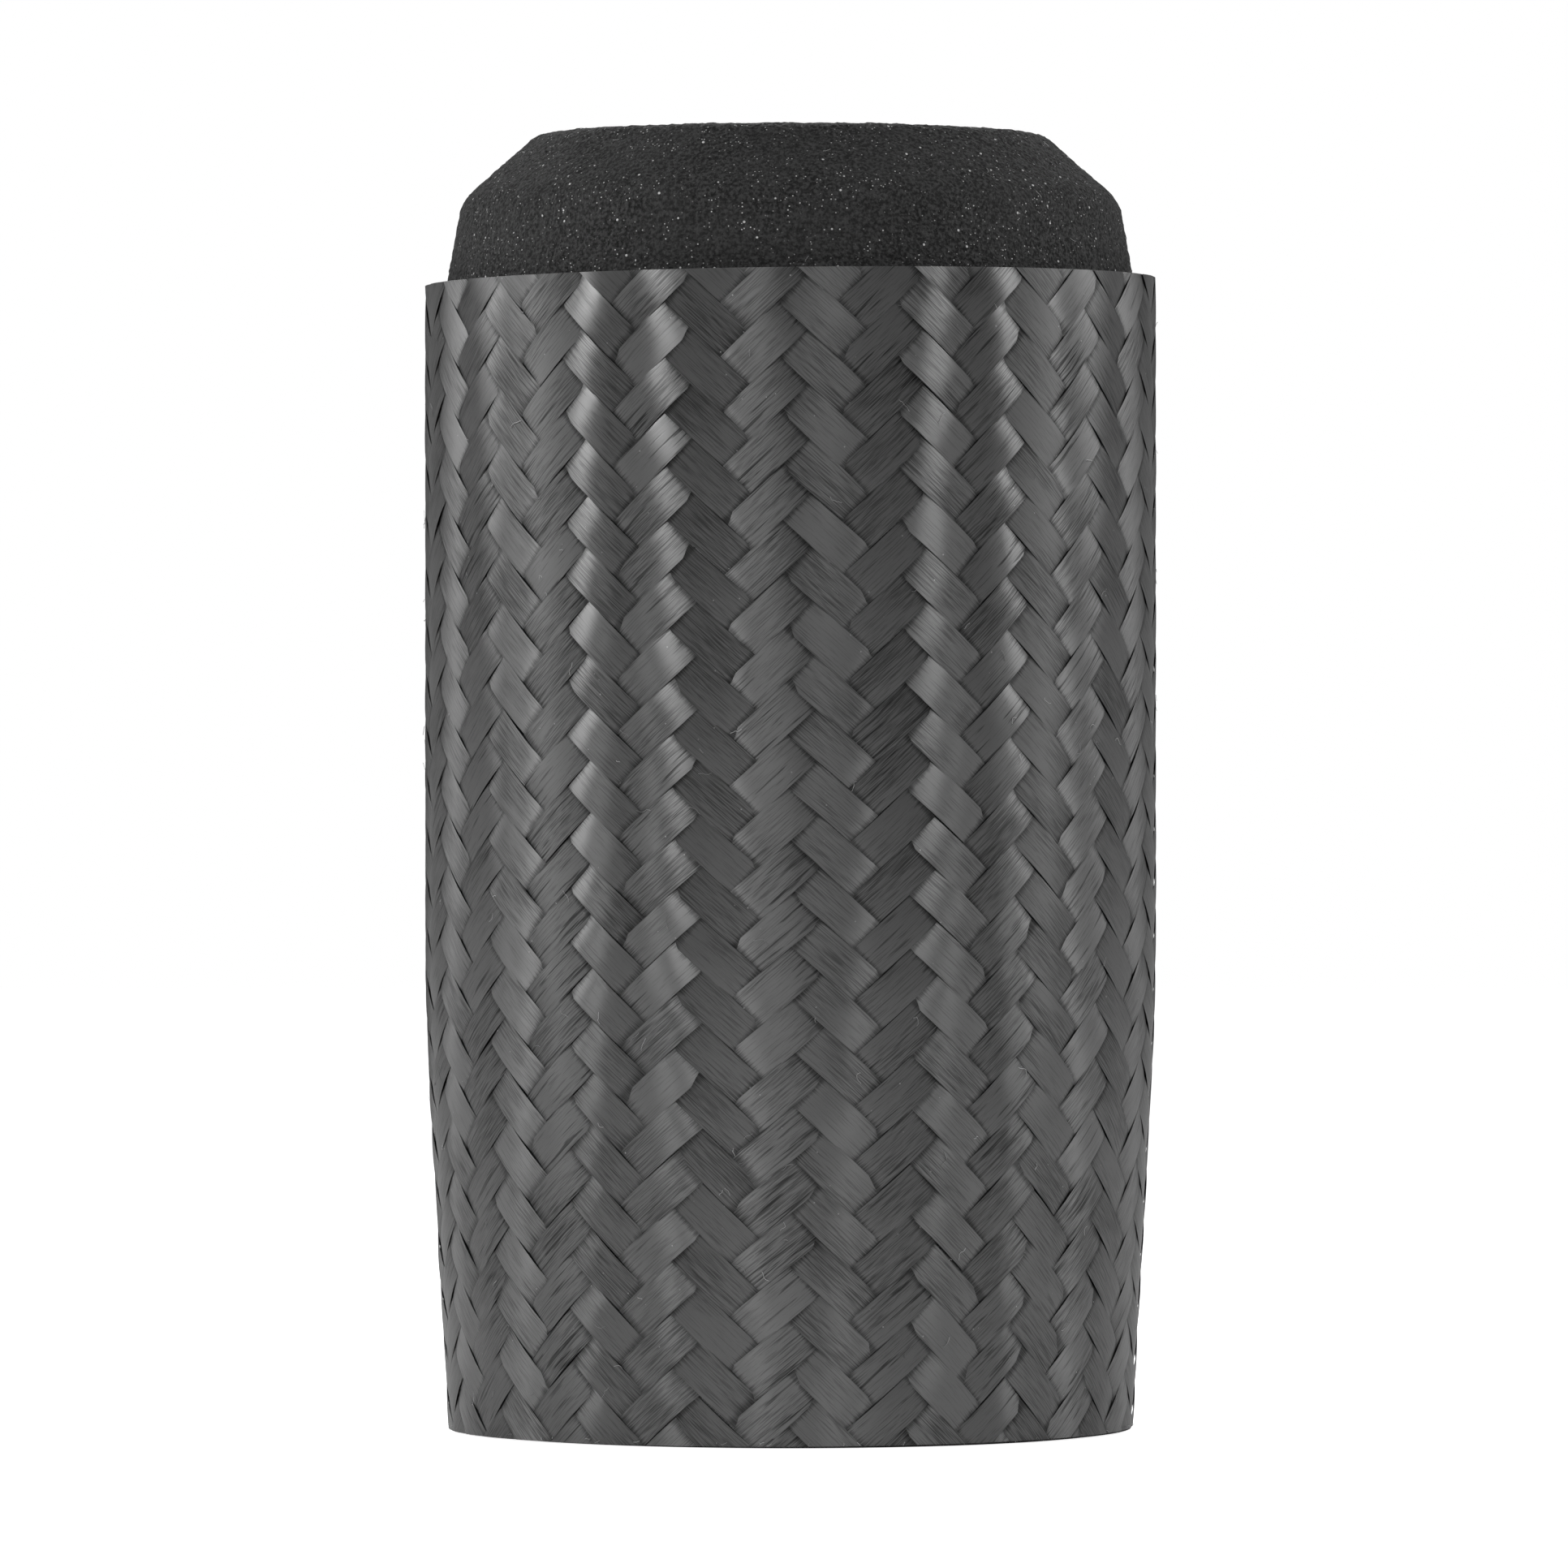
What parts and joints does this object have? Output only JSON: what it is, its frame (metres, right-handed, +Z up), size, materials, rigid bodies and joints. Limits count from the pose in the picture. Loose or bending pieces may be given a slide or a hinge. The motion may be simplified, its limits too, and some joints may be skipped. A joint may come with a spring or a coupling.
{
  "type": "bear canister",
  "caption": "Tall round food canister with a braided carbon wall that narrows at the base, and a black bevelled plug lid locked by coin-turned latches.",
  "frame": {"origin": "on the ground, under the centre of the foot ring", "axes": "+Z up along the canister's axis; -Y is the side seen in the picture; latch 1 lies towards +Y"},
  "size_m": [0.203, 0.203, 0.3588],
  "materials": {
    "carbon_braid": "woven carbon fibre, thin clear resin, satin",
    "carbon_laminate": "smooth moulded carbon laminate",
    "black_moulding": "coarse grained black moulding",
    "black_rubber": "soft black rubber",
    "alloy_plate": "bead blasted and anodised",
    "stainless_steel": "turned stainless steel",
    "spring_steel": "blank spring steel",
    "natural_nylon": "off-white nylon"
  },
  "bodies": {
    "canister": {"braided_sleeve": "carbon_braid", "inner_tube": "carbon_laminate", "base_cap": "black_moulding", "foot_ring": "black_rubber", "rim_ring": "black_moulding", "rim_gasket": "black_rubber"},
    "lid": {"lid_shell": "black_moulding", "lid_plate": "alloy_plate", "plate_screws": "stainless_steel", "stop_pins": "stainless_steel", "bezel_1": "stainless_steel", "o_ring_1": "black_rubber", "bush_1": "natural_nylon", "bezel_2": "stainless_steel", "o_ring_2": "black_rubber", "bush_2": "natural_nylon", "bezel_3": "stainless_steel", "o_ring_3": "black_rubber", "bush_3": "natural_nylon"},
    "latch_1": {"bolt_1": "stainless_steel", "tongue_1": "stainless_steel", "spring_washer_1": "spring_steel", "lock_nut_1": "stainless_steel"},
    "latch_2": {"bolt_2": "stainless_steel", "tongue_2": "stainless_steel", "spring_washer_2": "spring_steel", "lock_nut_2": "stainless_steel"},
    "latch_3": {"bolt_3": "stainless_steel", "tongue_3": "stainless_steel", "spring_washer_3": "spring_steel", "lock_nut_3": "stainless_steel"}
  },
  "joints": [
    {"name": "lid_lift", "type": "slide", "parent": "canister", "child": "lid", "axis": [0, 0, 1], "range_m": [0, 0.15]},
    {"name": "latch_1_turn", "type": "hinge", "parent": "lid", "child": "latch_1", "pos_m": [0, 0.05, 0.32], "axis": [0, 0, -1], "range_deg": [0, 90]},
    {"name": "latch_2_turn", "type": "hinge", "parent": "lid", "child": "latch_2", "pos_m": [-0.0433, -0.025, 0.32], "axis": [0, 0, -1], "range_deg": [0, 90]},
    {"name": "latch_3_turn", "type": "hinge", "parent": "lid", "child": "latch_3", "pos_m": [0.0433, -0.025, 0.32], "axis": [0, 0, -1], "range_deg": [0, 90]}
  ]
}
